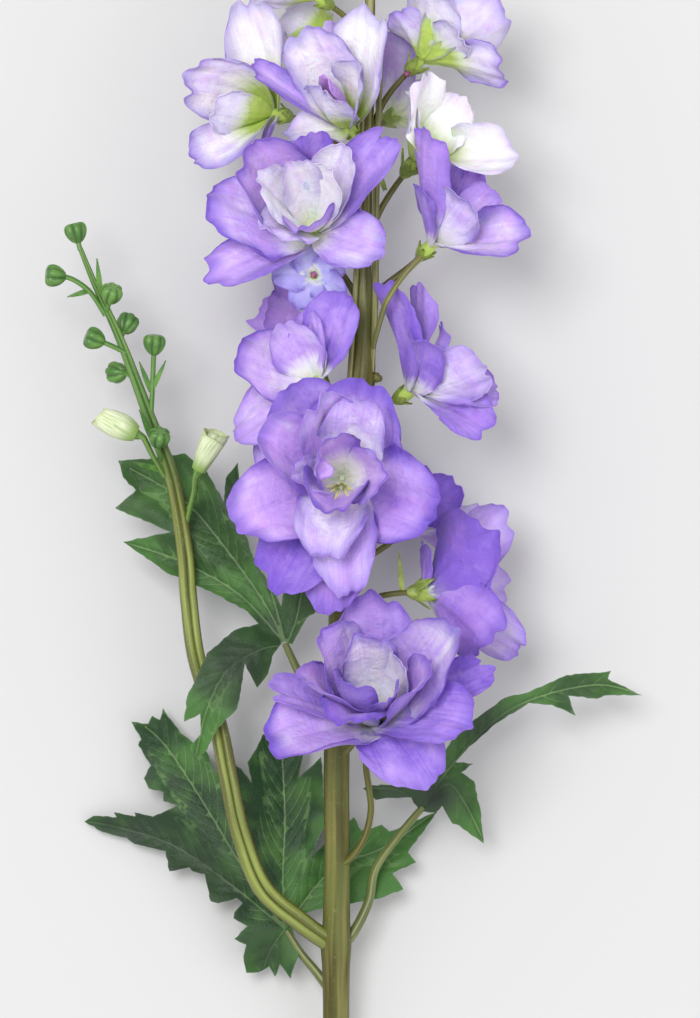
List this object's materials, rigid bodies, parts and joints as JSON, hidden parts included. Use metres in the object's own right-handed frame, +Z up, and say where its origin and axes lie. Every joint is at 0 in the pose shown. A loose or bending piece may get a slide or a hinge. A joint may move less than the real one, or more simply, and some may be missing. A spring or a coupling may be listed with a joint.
{
  "type": "delphinium flower spray",
  "caption": "Cut delphinium spray of cloth petals and leaves on moulded olive stems, with a side branch of round green buds, lying flat.",
  "frame": {"origin": "on the table under the middle of the spray's box", "axes": "+X across the spray, to the right as it is seen from above; +Y along the stem to its budded tip; +Z up off the table it lies on"},
  "size_m": [0.198, 0.5413, 0.0949],
  "materials": {
    "stem_olive": "semi-gloss olive, lengthwise flutes with yellowish highlights",
    "bud_green": "semi-gloss green, ribbed buds, olive lower branch",
    "bud_cream": "matt cream cloth, green foot",
    "leaf_green": "dark green coated cloth, soft sheen, pale veins",
    "petal_violet": "matt violet cloth, paler centre, streaked, darker edges",
    "petal_lilac": "matt lilac cloth, whitish centre, streaked",
    "petal_white": "matt white cloth, lilac edges, green foot"
  },
  "bodies": {
    "root": {"main_stem": "stem_olive", "bud_branch": "bud_green", "pale_bud_left": "bud_cream", "pale_bud_right": "bud_cream", "leaf_low": "leaf_green", "leaf_mid_left": "leaf_green", "leaf_mid_right": "leaf_green", "bloom_front": "petal_violet", "bloom_low": "petal_violet", "bloom_right_low": "petal_violet", "bloom_right_mid": "petal_violet", "bloom_back_right": "petal_violet", "bloom_back_left": "petal_violet", "bloom_left_upper": "petal_lilac", "bloom_left_mid": "petal_lilac", "bloom_right_upper": "petal_lilac", "floret_small": "petal_lilac", "bloom_upper_mid": "petal_white", "bloom_upper_left": "petal_white", "bloom_upper_right": "petal_white", "bloom_top_right": "petal_white", "bloom_top_left": "petal_white", "bloom_back_upper_left": "petal_white", "bloom_back_upper_right": "petal_white", "bloom_crown_front": "petal_white", "bloom_crown_left": "petal_white", "bloom_crown_right": "petal_white"}
  },
  "joints": []
}
